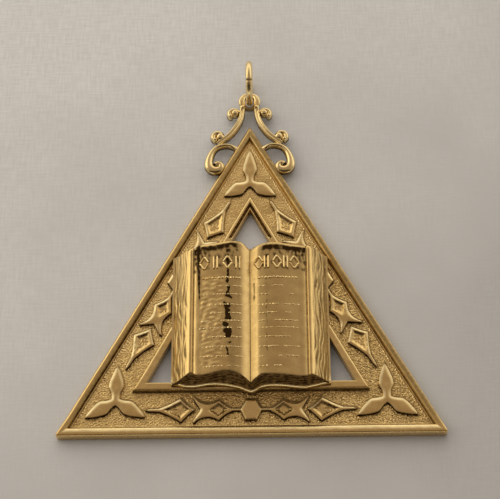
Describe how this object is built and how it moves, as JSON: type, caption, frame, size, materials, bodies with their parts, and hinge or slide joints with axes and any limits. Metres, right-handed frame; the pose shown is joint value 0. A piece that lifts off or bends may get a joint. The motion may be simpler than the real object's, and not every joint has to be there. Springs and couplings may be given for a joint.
{
  "type": "triangular officer's jewel",
  "caption": "Gilt triangular lodge officer's jewel with an open book across its middle, relief ornament, a scrolled crest and a split hanging ring.",
  "frame": {"origin": "middle of the jewel's whole outline, on the plane of its back", "axes": "+X to the right across the base, +Y from the base towards the apex and the ring, +Z out of the face"},
  "size_m": [0.076, 0.0828, 0.0096],
  "materials": {
    "frame_gilt": "cast gilt brass with polished borders and ornament over a matt stippled field",
    "book_gilt": "cast gilt brass, satin pages with polished ends and dark toning in the hollows",
    "rivet_metal": "dull gilt, filed flush",
    "ring_gilt": "polished gilt wire"
  },
  "bodies": {
    "jewel": {"frame": "frame_gilt", "book": "book_gilt", "rivet_left": "rivet_metal", "rivet_right": "rivet_metal"},
    "ring": {"jump_ring": "ring_gilt"}
  },
  "joints": [
    {"name": "ring_hinge", "type": "hinge", "parent": "jewel", "child": "ring", "pos_m": [0, 0.03522, 0.00235], "axis": [1, 0, 0], "range_deg": [-130, 10]}
  ]
}
